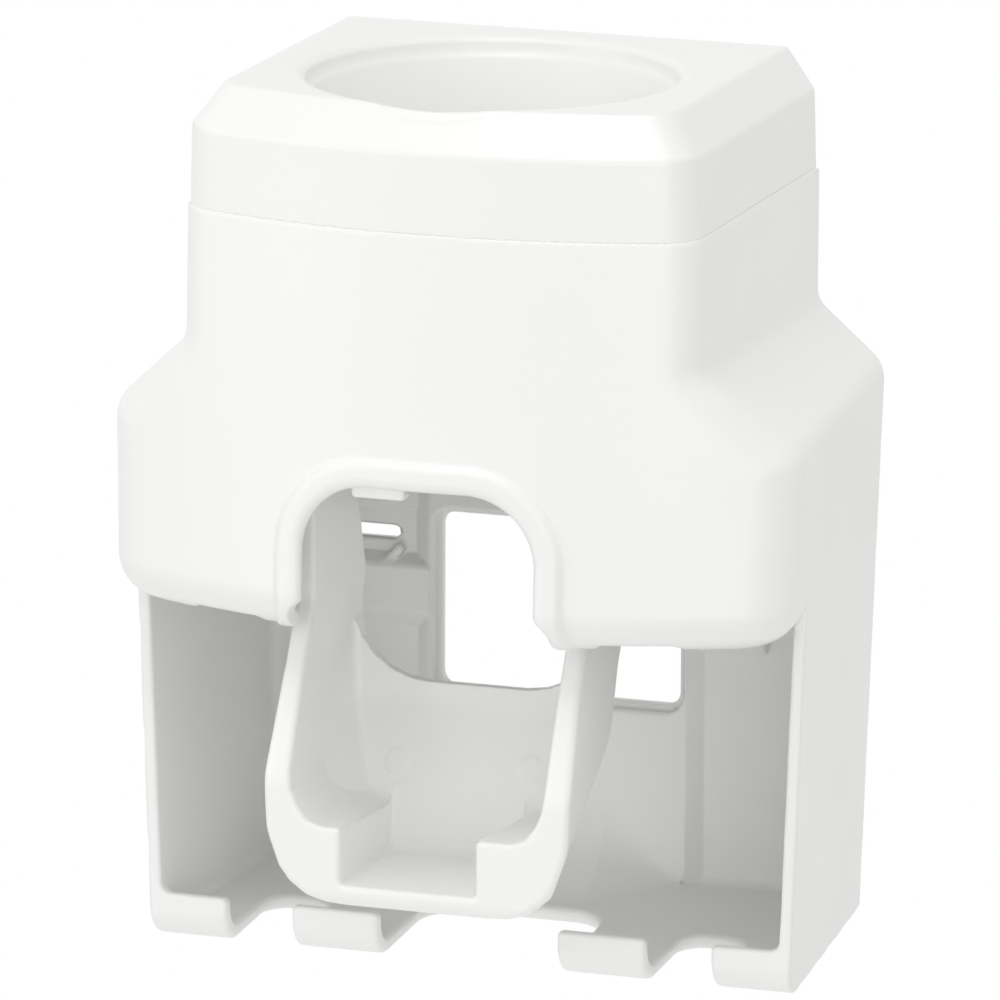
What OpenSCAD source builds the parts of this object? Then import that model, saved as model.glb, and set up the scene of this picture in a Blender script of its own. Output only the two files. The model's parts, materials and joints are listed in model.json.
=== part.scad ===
// Wall-hung toothpaste dispenser with four brush places.
// A drafted housing carries a lift-off cover with a well for the tube, a piston pump behind the
// hood, and a U-shaped lever that hangs in the arch and works the pump when it is pushed back.
// X runs to the right, the wall is the plane Y = 0, the front faces -Y and Z is up.
// The origin is the middle of the back, halfway up. The levels below are drawn from the lowest
// edge, and each piece is moved down by half the height at its end.
// All sizes are in millimetres.

/* [Housing] */
// Width of the hood at its front
hood_w = 134; // [112:1:162]
// Distance from the wall to the middle of the hood's front
depth = 86; // [78:1:103]
// Height from the lowest edge to the top of the cover
height = 167; // [146:1:200]
// Width of the narrow neck under the cover
neck_w = 99; // [86:0.5:106]
// Height of the neck between the hood's shoulders and the cover
neck_h = 25; // [20:1:30]
// Height of the sloped shoulders
shoulder_h = 15; // [12:0.5:18]
// Height of the hood's lower edge
hood_z = 68.5; // [60:0.5:80]
// Radius of the bowed front, seen from above
bow_r = 132; // [110:2:158]
// Thickness of the housing's walls
wall = 2.4; // [2:0.1:3]
// Depth of the open compartment's side walls
side_depth = 55.5; // [48:0.5:60]
// How far each side closes in from the front back to the wall
side_taper = 4.5; // [3:0.5:6]
// How far each side closes in from the shoulders down to the lower edge
side_draft = 3.7; // [3:0.1:5]

/* [Arch and back opening] */
// Width of the arch in the hood
arch_w = 49; // [42:0.5:52]
// Height of the arch above the hood's lower edge
arch_h = 28.8; // [26:0.2:32]
// Corner radius of the arch
arch_r = 13; // [10:0.5:15]
// Width of the raised rim round the arch
rim_w = 4.4; // [3:0.2:5]
// Width of the opening in the back wall
back_w = 47.4; // [40:0.5:50]
// Height of the opening in the back wall
back_h = 33.7; // [28:0.5:36]

/* [Brush holder floor] */
// Width of each toothbrush notch
notch_w = 12.7; // [10:0.1:14]
// Distance from the middle to the centre of each notch
notch_x = 41; // [38:0.5:44]
// Depth of each notch from the front of the floor
notch_d = 24; // [20:0.5:28]
// Width of the wide gap in the middle of the floor
scallop_w = 35; // [32:0.5:40]
// Depth of the wide gap in the middle of the floor
scallop_d = 31; // [26:0.5:35]
// Height of the four upturned lips above the lowest edge
lip_h = 9; // [7.5:0.5:11]

/* [Cover] */
// Height of the cover above its seam
cover_h = 22.4; // [20:0.2:26]
// Height of the bevel round the cover's top
bevel_h = 7.7; // [6:0.1:9]
// Radius of the tube well at the top of the cover
well_r = 33.8; // [30:0.2:35]
// Radius of the well's open lower end
well_low_r = 20; // [17:0.5:22]

/* [Lever] */
// Outer width of the lever
lever_w = 57; // [52:0.5:58]
// Thickness of the lever's arms
arm_t = 4; // [3:0.2:4.6]
// Width of the notch in the lever's front lip
mouth_w = 26.2; // [20:0.5:28]

/* [Pump] */
// Bore of the pump cylinder
bore = 16; // [14:0.5:16]
// Wire diameter of the return spring
wire = 0.8; // [0.7:0.05:0.9]
// Number of turns in the return spring
turns = 5; // [4:1:5]

/* [Hidden] */
$fn = 96;

// Levels of the housing
seam_z = height - cover_h;
neck_z = seam_z - neck_h;
brow_z = neck_z - shoulder_h;
floor_t = 2.8;
back_rise = 3.3;       // rise of the floor from the front to the wall
edge_r = 8;            // rounding of the hood's lower edge
hood_r = 12;           // rounding of the hood's upright front corners
neck_r = 6;            // rounding of the neck's and cover's upright front corners
front_lean = 2.7;      // how far the front leans back from the hood's edge to the seam
bow_y = -depth + bow_r;
half_w = hood_w / 2;
foot_w = half_w - side_draft;
back_z = hood_z + 5 - back_h;
slot_z = hood_z + 0.2;
slot_x = 39.5;
slot_l = 14.6;
slot_r = 1.2;
taper_a = atan(side_taper / (depth - 20));
draft_a = atan(side_draft / brow_z);

// Levels of the pump and the lever's pivot, hung from the neck
pivot_z = neck_z + 2.2;
pivot_y = -depth + 27;
pin_r = 1.5;
pump_z = pivot_z - 17;
frame_z = pivot_z + 7;
frame_t = 3;
well_y = -depth + 43.2;
outlet_y = well_y + 8.8;
body_r = bore / 2 + 3;
body_front = -depth + 24.5;
body_back = well_y + 14.8;
bar_y = pivot_y - 14;  // centre of the lever's push bar
bar_r = 3;
head_y = bar_y + bar_r + 0.3;
head_t = 2.5;
rod_r = 3.5;
spring_y0 = head_y + head_t;
spring_y1 = body_front + 3;
spring_r = 5;
piston_y = body_front + 6.8;
piston_t = 4;

lever_in = lever_w / 2 - arm_t;
lever_z = hood_z - 51;
bench_z = lever_z + 15.5;
core_z = lever_z + 9.5;
lever_y = -depth + 1.5;
ear_x = lever_w / 2 + 1.2;
ear_t = 3;

function unit(v) = v / norm(v);
function turn(a) = (a + 540) % 360 - 180;

// Arc of a corner at b, between a and c, with radius r and n steps
function corner(a, b, c, r, n) =
    let(u = unit(a - b), v = unit(c - b), h = acos(u * v) / 2,
        m = b + unit(u + v) * r / sin(h), p = b + u * r / tan(h) - m, q = b + v * r / tan(h) - m,
        s = atan2(p[1], p[0]), d = turn(atan2(q[1], q[0]) - s))
    [for (i = [0:n]) m + r * [cos(s + d * i / n), sin(s + d * i / n)]];

// Outline of points [x, y, radius] with its corners rounded
function rounded(p, n = 6) =
    [for (i = [0:len(p) - 1])
        let(k = len(p), a = p[(i + k - 1) % k], b = p[i], c = p[(i + 1) % k],
            b2 = [b[0], b[1]])
        each (b[2] > 0 ? corner([a[0], a[1]], b2, [c[0], c[1]], b[2], n) : [b2])];

// Outline given by its right half, mirrored to the left
function both(p) = concat(p, [for (i = [len(p) - 1:-1:0]) [-p[i][0], p[i][1], p[i][2]]]);

// Moves the model, drawn from its lowest edge up, to its origin halfway up the back
module hung() {
    translate([0, 0, -height / 2]) children();
}

// Prism of an outline in X and Z, between two values of Y
module along_y(y0, y1, p) {
    translate([0, y1, 0]) rotate([90, 0, 0]) linear_extrude(y1 - y0) polygon(p);
}

// Prism of an outline in Y and Z, between two values of X
module along_x(x0, x1, p) {
    translate([x0, 0, 0]) rotate([90, 0, 90]) linear_extrude(x1 - x0) polygon(p);
}

// Box given by two corners
module span(a, b) {
    translate(a) cube(b - a);
}

module cyl_y(x, z, r, y0, y1) {
    translate([x, y0, z]) rotate([-90, 0, 0]) cylinder(r = r, h = y1 - y0);
}

module cyl_x(y, z, r, x0, x1) {
    translate([x0, y, z]) rotate([0, 90, 0]) cylinder(r = r, h = x1 - x0);
}

module cyl_z(x, y, r, z0, z1) {
    translate([x, y, z0]) cylinder(r = r, h = z1 - z0);
}

// The bowed front: everything behind a slightly leaning cone, set in by t
module bow(t, z0, z1) {
    lean = front_lean / (seam_z - hood_z);
    intersection() {
        translate([0, bow_y, z0])
            cylinder(r1 = bow_r - t - lean * (z0 - hood_z), r2 = bow_r - t - lean * (z1 - hood_z),
                     h = z1 - z0, $fn = 180);
        span([-hood_w, -depth - 5, z0], [hood_w, 0, z1]);
    }
}

// What is outside the hood's tapered and drafted sides, set in by t
module side_waste(t) {
    for (m = [0, 1]) mirror([m, 0, 0])
        translate([half_w - t, -depth + 20, brow_z]) rotate([0, draft_a, taper_a])
            translate([0, -150, -height]) cube([60, 300, 2 * height]);
}

// What is outside the rounding of an upright front corner of radius r, for a straight side x
module corner_waste(x, r, bow, z0, z1) {
    cx = x - r;
    cy = bow_y - sqrt(pow(bow - r, 2) - cx * cx);
    a = [r, 0];
    b = r * unit([cx, cy - bow_y]);
    for (m = [0, 1]) mirror([m, 0, 0]) translate([cx, cy, z0]) linear_extrude(z1 - z0)
        difference() {
            polygon([[0, 0], a, a + b * 1.5, a * 1.5 + b * 1.5, b * 1.5 + a, b]);
            circle(r);
        }
}

// Outline of the neck, shoulders and hood in X and Z, set in by t
function front_view(t, low, r) = rounded(both([
    [half_w + 8 - t, low, r], [half_w + 8 - t, brow_z - 8 * shoulder_h / (half_w - neck_w / 2), 0],
    [neck_w / 2 - t, neck_z + t / 2, 4], [neck_w / 2 - t, height, 0]]));

// Hood and neck as one solid, set in by t
module hood_form(t, z0) {
    difference() {
        intersection() {
            bow(t, z0, seam_z + (t > 0 ? 1 : 0));
            along_y(-depth - 5, 5, front_view(t, z0, 0));
        }
        side_waste(t);
        corner_waste(half_w - 0.8 - t, hood_r - t, bow_r - t, z0 - 1, neck_z);
        corner_waste(neck_w / 2 - t, neck_r - t / 2, bow_r - t, neck_z, height);
    }
}

// Outline of the arch, grown by g
function arch(g) = rounded([
    [-arch_w / 2 - 2 - g, hood_z - 6, 0], [arch_w / 2 + 2 + g, hood_z - 6, 0],
    [arch_w / 2 + g, hood_z + 14, 0], [arch_w / 2 - 0.5 + g, hood_z + arch_h + g, arch_r + g],
    [-arch_w / 2 + 0.5 - g, hood_z + arch_h + g, arch_r + g],
    [-arch_w / 2 - g, hood_z + 14, 0]], 8);

// Profile of the floor and its upturned lips in Y and Z
floor_line = rounded([
    [0, back_rise, 0], [-side_depth, -0.3, 7], [-side_depth, lip_h, 1.2],
    [-side_depth + floor_t, lip_h, 1.2], [-side_depth + floor_t, floor_t, 4.2],
    [0, back_rise + floor_t, 0]]);

// One gap in the floor from the front, closed by a rounded end
module floor_gap(x, w, d, r) {
    translate([x, 0, -5]) linear_extrude(lip_h + 12) polygon(rounded([
        [-w / 2, -side_depth - 9, 0], [-w / 2, -side_depth + d, r],
        [w / 2, -side_depth + d, r], [w / 2, -side_depth - 9, 0]]));
}

// Ring outside the rounding of the hood's lower front edge, for a rounding of radius r
module edge_ring(r) {
    translate([0, bow_y, hood_z]) rotate_extrude($fn = 180) difference() {
        translate([bow_r - edge_r, -3]) square([edge_r + 6, edge_r + 3]);
        translate([bow_r - edge_r, edge_r]) circle(r);
    }
}

// Side walls and back of the open compartment
module compartment() {
    difference() {
        span([-half_w, -side_depth, 0], [half_w, 0, brow_z]);
        side_waste(0);
        difference() {
            span([-half_w, -side_depth - 5, -5], [half_w, -wall, brow_z + 5]);
            side_waste(wall);
        }
    }
    difference() {
        along_x(-half_w, half_w, floor_line);
        side_waste(0.4);
    }
}

// Slanted cut under the side walls and floor, and rounding of the lower front corners
module under_waste() {
    along_x(-half_w - 5, half_w + 5, rounded([
        [2, -9, 0], [2, back_rise + 0.1, 0], [0, back_rise, 0], [-side_depth, -0.3, 7],
        [-side_depth, hood_z, 0], [-side_depth - 9, hood_z, 0], [-side_depth - 9, -9, 0]]));
}

// Central panel of the back wall with its cove, and the rails beside the opening
module back_panel() {
    along_x(-26, 26, rounded([
        [-wall + 0.2, back_rise + 1, 0], [-24, back_rise + 0.4, 0], [-24, back_rise + 0.9, 0],
        [-wall - 2.2, back_rise + 2, 17], [-wall - 2.2, hood_z + 30, 0],
        [-wall + 0.2, hood_z + 32.4, 0]]));
    for (m = [0, 1]) mirror([m, 0, 0]) {
        span([26, -wall - 3.4, hood_z - 14.5], [31.6, -wall + 0.2, hood_z - 5]);
        along_x(26, 38, [[-wall + 0.2, hood_z - 15], [-wall - 1.6, hood_z - 15],
            [-wall - 1.6, hood_z - 8], [-wall + 0.2, hood_z - 5.6]]);
    }
}

module frame_post(x, y) {
    for (m = [0, 1]) mirror([m, 0, 0])
        span([x - 4, y - 4, frame_z - 9], [neck_w / 2 - wall + 0.3, y + 4, frame_z]);
}

post_x = neck_w / 2 - wall - 5.5;
post_y = [-12, -depth + 24];

module housing() {
    hung() color([0.95, 0.95, 0.94]) difference() {
        union() {
            difference() {
                union() {
                    hood_form(0, hood_z);
                    compartment();
                    intersection() {
                        along_y(-depth - 5, -depth + 12, arch(rim_w));
                        bow(-1.4, hood_z, neck_z);
                    }
                }
                // the hood's hollow, its open underside and the opening at the top
                difference() {
                    hood_form(wall, hood_z + wall);
                    span([-hood_w, -wall, 0], [hood_w, 5, height]);
                    edge_ring(edge_r - wall);
                }
                difference() {
                    hood_form(edge_r - 1.6, hood_z - 1);
                    span([-hood_w, -wall, 0], [hood_w, 5, height]);
                    span([-hood_w, -side_depth, 0], [hood_w, 0, height]);
                }
                difference() {
                    span([-half_w, -side_depth - 4, hood_z - 1], [half_w, -wall, hood_z + wall + 1]);
                    side_waste(wall);
                }
                // rounding of the hood's lower front edge
                edge_ring(edge_r);
            }
            back_panel();
            for (y = post_y) frame_post(post_x, y);
        }
        along_y(-depth - 5, -depth + 14, arch(0));
        along_y(-30, 5, rounded([
            [-back_w / 2, back_z, 2.5], [back_w / 2, back_z, 2.5],
            [back_w / 2, back_z + back_h, 2.5], [-back_w / 2, back_z + back_h, 2.5]]));
        for (s = [-1, 1]) {
            // hanging slot, open through the back wall
            span([s * slot_x - slot_l / 2 + slot_r, -12, slot_z - slot_r],
                 [s * slot_x + slot_l / 2 - slot_r, 5, slot_z + slot_r]);
            for (e = [-1, 1]) cyl_y(s * slot_x + e * (slot_l / 2 - slot_r), slot_z, slot_r, -12, 5);
            floor_gap(s * notch_x, notch_w, notch_d, 5);
            for (y = post_y) cyl_z(s * post_x, y, 1.2, frame_z - 8, frame_z + 5);
        }
        floor_gap(0, scallop_w, scallop_d, 8);
        under_waste();
    }
}

// Solid of the cover's outside, set in by t
module cover_form(t, z0) {
    top_in = 5.8;
    side_in = 5.4;
    band_r = bow_r - front_lean - 0.2;
    difference() {
        intersection() {
            union() {
                translate([0, bow_y, z0]) cylinder(r = band_r - t, h = height - bevel_h - z0,
                                                   $fn = 180);
                translate([0, bow_y, height - bevel_h]) cylinder(r1 = band_r - t,
                    r2 = band_r - t - top_in, h = bevel_h - t, $fn = 180);
            }
            along_y(-depth, -0.4 - t, rounded(both([
                [neck_w / 2 - 0.5 - t, z0, 0], [neck_w / 2 - 0.9 - t, height - bevel_h, 0],
                [neck_w / 2 - 0.9 - t - side_in, height - t, 0]])));
        }
        corner_waste(neck_w / 2 - 0.5 - t, neck_r - t / 2, band_r - t + 0.01, z0 - 1,
                     height + 1);
    }
}

module top_cover() {
    lip = 3.3;
    foot = frame_z + frame_t + 3.6;
    hung() color([0.96, 0.96, 0.95]) difference() {
        union() {
            difference() {
                cover_form(0, seam_z);
                cover_form(2.2, seam_z - 1);
            }
            // skirt that drops inside the neck
            difference() {
                intersection() {
                    cover_form(wall + 0.6, seam_z - 6);
                    span([-hood_w, -depth, seam_z - 6], [hood_w, -wall - 0.5, seam_z + 3]);
                }
                intersection() {
                    cover_form(wall + 2.6, seam_z - 7);
                    span([-hood_w, -depth, seam_z - 7], [hood_w, -wall - 2.5, seam_z + 4]);
                }
            }
            // lands that join the skirt to the shell
            for (m = [0, 1]) mirror([m, 0, 0])
                span([neck_w / 2 - wall - 3.4, -56, seam_z],
                     [neck_w / 2 - 1.4, -14, seam_z + 3]);
            intersection() {
                cover_form(1, seam_z);
                span([-30, -depth, seam_z], [30, -depth + 10.5, seam_z + 3]);
            }
            span([-40, -wall - 2.6, seam_z], [40, -0.8, seam_z + 3]);
            // funnel of the tube well
            translate([0, well_y, 0]) rotate_extrude() polygon([
                [well_low_r, foot], [well_low_r + 2.2, foot],
                [well_r + 2.2, height - lip - 1.4], [well_r + 2.2, height - 1],
                [well_r - 1, height - 1], [well_low_r, foot + 2]]);
        }
        translate([0, well_y, 0]) rotate_extrude() polygon([
            [0, foot - 1], [well_low_r, foot - 1], [well_low_r, foot],
            [well_r - 1.6, height - lip], [well_r, height - lip], [well_r, height + 1],
            [0, height + 1]]);
    }
}

// Outline of the lever's U in X and Z, set in by t
function lever_front(t, low) = rounded(both([
    [lever_w / 2 + 0.8 - t, low, 16 - t], [lever_w / 2 + 1 - t, hood_z - 26, 20],
    [lever_w / 2 - t, hood_z - 8, 20], [lever_w / 2 - t, pivot_z + 10, 0]]));

// Side of the lever in Y and Z
lever_side = rounded([
    [lever_y, lever_z, 3], [lever_y, hood_z - 27, 8], [lever_y + 8, hood_z - 9, 10],
    [lever_y + 10.5, hood_z + 10, 8], [bar_y - 3.8, pump_z - 4, 6], [bar_y - 3.8, pump_z + 5, 3],
    [pivot_y - 6, pivot_z, 3], [pivot_y - 5, pivot_z + 6, 5.2], [pivot_y + 6, pivot_z + 6, 5.2],
    [pivot_y + 6, pivot_z - 6, 3], [lever_y + 34, pump_z, 4], [lever_y + 39, hood_z + 16, 6],
    [lever_y + 43, hood_z + 2.5, 6], [lever_y + 37.2, hood_z - 9, 8],
    [lever_y + 36.8, hood_z - 19, 10], [lever_y + 30, lever_z + 2, 8]]);

module brush_lever() {
    hung() color([0.93, 0.93, 0.92]) difference() {
        union() {
            difference() {
                intersection() {
                    along_y(-depth, -30, lever_front(0, lever_z));
                    along_x(-lever_w, lever_w, lever_side);
                }
                // the scoop, between two arms and a bench on each side of the channel
                intersection() {
                    along_y(-depth - 5, -20, rounded(both([
                        [lever_in, bench_z - 2.7, 12], [lever_in, height, 0]])));
                    along_x(-lever_w, lever_w, rounded([
                        [lever_y - 6, bench_z, 0], [lever_y, bench_z, 0],
                        [lever_y + 28.2, bench_z - 2.5, 5], [lever_y + 34.3, hood_z - 19, 10],
                        [lever_y + 34.5, height, 0], [lever_y - 6, height, 0]]));
                }
                // above the scoop's back, open to the rear
                along_y(-62, -20, rounded(both([
                    [lever_in, hood_z - 15.5, 8.5], [lever_in, height, 0]])));
                // channel from the notch in the front lip to the scoop's back
                along_x(-mouth_w / 2 - 1.5, mouth_w / 2 - 1.5, rounded([
                    [lever_y - 6, lever_z + 4.6, 0], [lever_y + 27.1, lever_z + 4.9, 3],
                    [lever_y + 31.1, hood_z - 30.5, 0], [lever_y - 6, hood_z - 30.5, 0]]));
                // cores under the benches, which keep the plastic's thickness even
                span([-22.6, lever_y + 3, lever_z - 1], [-mouth_w / 2 - 4.1, lever_y + 25, core_z]);
                span([mouth_w / 2 + 1.3, lever_y + 3, lever_z - 1], [22.6, lever_y + 25, core_z]);
            }
            // push bar between the arms
            cyl_x(bar_y, pump_z + 1, bar_r, -lever_in - 0.5, lever_in + 0.5);
            span([-lever_in - 0.5, bar_y - 3.6, pump_z - 4],
                 [lever_in + 0.5, bar_y, pump_z + 6]);
        }
        cyl_x(pivot_y, pivot_z, pin_r + 0.05, -lever_w, lever_w);
    }
}

// Two headed steel pins pressed into the frame's ears
module pivot_pins() {
    hung() color([0.75, 0.76, 0.78]) for (m = [0, 1]) mirror([m, 0, 0]) {
        cyl_x(pivot_y, pivot_z, pin_r, lever_in + 0.2, ear_x + ear_t + 0.2);
        cyl_x(pivot_y, pivot_z, 2.8, ear_x + ear_t, ear_x + ear_t + 1.2);
    }
}

module pivot_washers() {
    hung() color([0.85, 0.85, 0.8]) for (m = [0, 1]) mirror([m, 0, 0]) difference() {
        cyl_x(pivot_y, pivot_z, 3.4, ear_x - 0.8, ear_x);
        cyl_x(pivot_y, pivot_z, pin_r + 0.02, ear_x - 1, ear_x + 1);
    }
}

screw_xy = [for (x = [-17, 17], y = [well_y - 8, well_y + 12]) [x, y]];

module pump_frame() {
    hung() color([0.88, 0.89, 0.9]) difference() {
        union() {
            translate([0, 0, frame_z]) linear_extrude(frame_t) polygon(rounded([
                [-neck_w / 2 + wall + 1, -5, 3], [neck_w / 2 - wall - 1, -5, 3],
                [neck_w / 2 - wall - 1, -depth + 18, 4],
                [-neck_w / 2 + wall + 1, -depth + 18, 4]]));
            for (m = [0, 1]) mirror([m, 0, 0]) {
                along_x(ear_x, ear_x + ear_t, rounded([
                    [pivot_y - 7, frame_z + 0.5, 0], [pivot_y - 7, pivot_z - 6, 6],
                    [pivot_y + 7, pivot_z - 6, 6], [pivot_y + 7, frame_z + 0.5, 0]]));
                span([14, -17, frame_z + frame_t - 0.5], [16, -8, frame_z + frame_t + 2]);
            }
        }
        cyl_z(0, well_y, 6.6, frame_z - 1, frame_z + frame_t + 1);
        cyl_x(pivot_y, pivot_z, pin_r, -lever_w, lever_w);
        for (s = [-1, 1], y = post_y) cyl_z(s * post_x, y, 1.7, frame_z - 1, frame_z + 9);
        for (p = screw_xy) cyl_z(p[0], p[1], 1.7, frame_z - 1, frame_z + 9);
    }
}

// Pan-head screw with a cross recess, its head resting at z
module pan_screw(p, z, l, r) {
    translate([p[0], p[1], z]) difference() {
        union() {
            cylinder(r = r * 1.9, h = r * 1.1);
            translate([0, 0, -l]) cylinder(r = r * 0.78, h = l + 0.1);
        }
        for (a = [0, 90]) rotate([0, 0, a])
            translate([-r, -r * 0.2, r * 0.55]) cube([2 * r, r * 0.4, r]);
    }
}

module frame_screws() {
    hung() color([0.7, 0.71, 0.73]) for (s = [-1, 1], y = post_y)
        pan_screw([s * post_x, y], frame_z + frame_t, 9, 1.5);
}

module body_screws() {
    hung() color([0.7, 0.71, 0.73]) for (p = screw_xy) pan_screw(p, frame_z + frame_t, 8, 1.5);
}

riser_top = frame_z;

module pump_body() {
    hung() color([0.87, 0.88, 0.9]) difference() {
        union() {
            cyl_y(0, pump_z, body_r, body_front + 4, body_back);
            cyl_z(0, well_y, 9, pump_z, riser_top);
            span([-21, well_y - 12, riser_top - 5.5], [21, well_y + 16, riser_top]);
            cyl_z(0, outlet_y, 6, pump_z - body_r - 4.2, pump_z);
            for (s = [-1, 1]) cyl_y(s * 12.4, pump_z, 3.4, body_front + 4, body_front + 16);
            span([-12.4, body_front + 4, pump_z - 3.4], [12.4, body_front + 12, pump_z + 3.4]);
        }
        cyl_y(0, pump_z, bore / 2, body_front, body_back - 3);
        // inlet with a counterbore for the valve disc, and outlet with a seat for the duckbill
        cyl_z(0, well_y, 2.5, pump_z, riser_top + 1);
        cyl_z(0, well_y, 5, riser_top - 6, riser_top + 1);
        cyl_z(0, outlet_y, 2.6, pump_z - body_r - 9, pump_z);
        cyl_z(0, outlet_y, 4.2, pump_z - body_r - 9, pump_z - body_r - 0.4);
        for (s = [-1, 1]) cyl_y(s * 12.4, pump_z, 1.1, body_front, body_front + 12);
        for (p = screw_xy) cyl_z(p[0], p[1], 1.2, riser_top - 9, riser_top + 1);
    }
}

module cylinder_cap() {
    hung() color([0.9, 0.9, 0.88]) difference() {
        union() {
            cyl_y(0, pump_z, body_r, body_front, body_front + 4);
            cyl_y(0, pump_z, bore / 2 - 0.1, body_front + 3, body_front + 6.2);
            for (s = [-1, 1]) cyl_y(s * 12.4, pump_z, 3.4, body_front, body_front + 4);
            span([-12.4, body_front, pump_z - 3.4], [12.4, body_front + 4, pump_z + 3.4]);
        }
        cyl_y(0, pump_z, rod_r + 0.08, body_front - 1, body_front + 9);
        cyl_y(0, pump_z, spring_r + wire / 2 + 0.9, body_front - 1, spring_y1);
        for (s = [-1, 1]) cyl_y(s * 12.4, pump_z, 1.6, body_front - 1, body_front + 5);
    }
}

module cap_screws() {
    hung() color([0.7, 0.71, 0.73]) for (s = [-1, 1])
        translate([s * 12.4, body_front, pump_z]) rotate([90, 0, 0])
            pan_screw([0, 0], 0, 12, 1.4);
}

module plunger() {
    hung() color([0.9, 0.9, 0.88]) difference() {
        union() {
            cyl_y(0, pump_z, 7, head_y, spring_y0);
            cyl_y(0, pump_z, rod_r, spring_y0 - 0.5, piston_y);
        }
        cyl_y(0, pump_z, 0.9, piston_y - 7, piston_y + 1);
    }
}

module piston() {
    hung() color([0.82, 0.83, 0.85]) difference() {
        union() {
            cyl_y(0, pump_z, bore / 2 - 0.7, piston_y, piston_y + 1.4);
            cyl_y(0, pump_z, bore / 2 - 2.6, piston_y, piston_y + piston_t - 1);
            cyl_y(0, pump_z, bore / 2 - 0.7, piston_y + piston_t - 1, piston_y + piston_t);
        }
        cyl_y(0, pump_z, 1.2, piston_y - 1, piston_y + piston_t + 1);
    }
}

module piston_seal() {
    hung() color([0.25, 0.26, 0.28]) difference() {
        cyl_y(0, pump_z, bore / 2 - 0.06, piston_y + 1.45, piston_y + piston_t - 1.05);
        cyl_y(0, pump_z, bore / 2 - 2.55, piston_y, piston_y + piston_t);
    }
}

module piston_screw() {
    hung() color([0.7, 0.71, 0.73]) translate([0, piston_y + piston_t, pump_z]) rotate([-90, 0, 0])
        pan_screw([0, 0], 0, 9, 1.1);
}

// Open-ended coil between the plunger's head and the seat in the cap
module return_spring() {
    sides = 6;
    steps = 16;
    gap = 0.1;
    r = wire / 2;
    run = spring_y1 - spring_y0 - 2 * (r + gap);
    n = turns * steps;
    pts = [for (i = [0:n], k = [0:sides - 1])
        let(a = 360 * i / steps, b = 360 * k / sides, q = spring_r + r * cos(b))
        [q * cos(a), spring_y0 + gap + r + run * i / n + r * sin(b), pump_z + q * sin(a)]];
    walls = [for (i = [0:n - 1], k = [0:sides - 1])
        let(a = i * sides + k, b = i * sides + (k + 1) % sides, c = a + sides, d = b + sides)
        each [[a, b, d], [a, d, c]]];
    start = [for (k = [1:sides - 2]) [0, k + 1, k]];
    stop = [for (k = [1:sides - 2]) [n * sides, n * sides + k, n * sides + k + 1]];
    echo(least_gap_between_turns = run / turns - wire);
    hung() color([0.78, 0.79, 0.8]) polyhedron(pts, concat(walls, start, stop));
}

module inlet_valve() {
    hung() color([0.8, 0.35, 0.3]) {
        cyl_z(0, well_y, 4.6, riser_top - 6, riser_top - 4.8);
        cyl_z(0, well_y, 1.4, riser_top - 9, riser_top - 4.8);
    }
}

module outlet_valve() {
    z = pump_z - body_r - 0.4;
    hung() color([0.8, 0.35, 0.3]) difference() {
        union() {
            cyl_z(0, outlet_y, 4.1, z - 1, z);
            along_y(outlet_y - 1.6, outlet_y + 1.6, [[-2.4, z - 0.5], [2.4, z - 0.5],
                [0.4, z - 3.4], [-0.4, z - 3.4]]);
        }
        cyl_z(0, outlet_y, 1.1, z - 2, z + 1);
    }
}

module nozzle() {
    z = pump_z - body_r - 1.4;
    hung() color([0.92, 0.92, 0.9]) difference() {
        union() {
            cyl_z(0, outlet_y, 4.15, z - 3, z);
            cyl_z(0, outlet_y, 5.4, z - 4.4, z - 2.8);
        }
        cyl_z(0, outlet_y, 2.8, z - 2.8, z + 1);
        cyl_z(0, outlet_y, 1.6, z - 9, z);
    }
}

module tube_socket() {
    z = frame_z + frame_t;
    hung() color([0.9, 0.9, 0.88]) translate([0, well_y, 0]) rotate_extrude() polygon([
        [3, frame_z - 4], [4.9, frame_z - 4], [4.9, frame_z + 0.05], [6.4, frame_z + 0.05],
        [6.4, z + 0.05], [11, z + 0.05], [11, z + 1.8], [9.4, z + 5.4], [7.6, z + 5.4],
        [5.2, z + 1], [5.2, frame_z + 0.4], [3, frame_z + 0.4]]);
}

module socket_seal() {
    z = frame_z + frame_t;
    hung() color([0.25, 0.26, 0.28]) translate([0, well_y, 0]) difference() {
        cyl_z(0, 0, 5.1, frame_z + 0.45, frame_z + 3);
        cyl_z(0, 0, 3.4, frame_z, z + 3);
    }
}

module inlet_gasket() {
    hung() color([0.25, 0.26, 0.28]) translate([0, well_y, 0]) difference() {
        cyl_z(0, 0, 4.9, riser_top - 4.7, riser_top - 4.05);
        cyl_z(0, 0, 3, riser_top - 6, riser_top);
    }
}

housing();
top_cover();
brush_lever();
pivot_pins();
pivot_washers();
pump_frame();
frame_screws();
pump_body();
body_screws();
cylinder_cap();
cap_screws();
plunger();
piston();
piston_seal();
piston_screw();
return_spring();
inlet_valve();
outlet_valve();
nozzle();
tube_socket();
socket_seal();
inlet_gasket();
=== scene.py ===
# %% [markdown]
# A wall-hung toothpaste dispenser, moulded in white ABS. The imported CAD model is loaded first, as
# a fixed frame: each of its nodes is at its real place, in metres. The small machine parts are
# fine as they are and only get a finish. The three mouldings that everybody sees are made again
# here with the soft edges that a mould leaves, on the same sizes.

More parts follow.
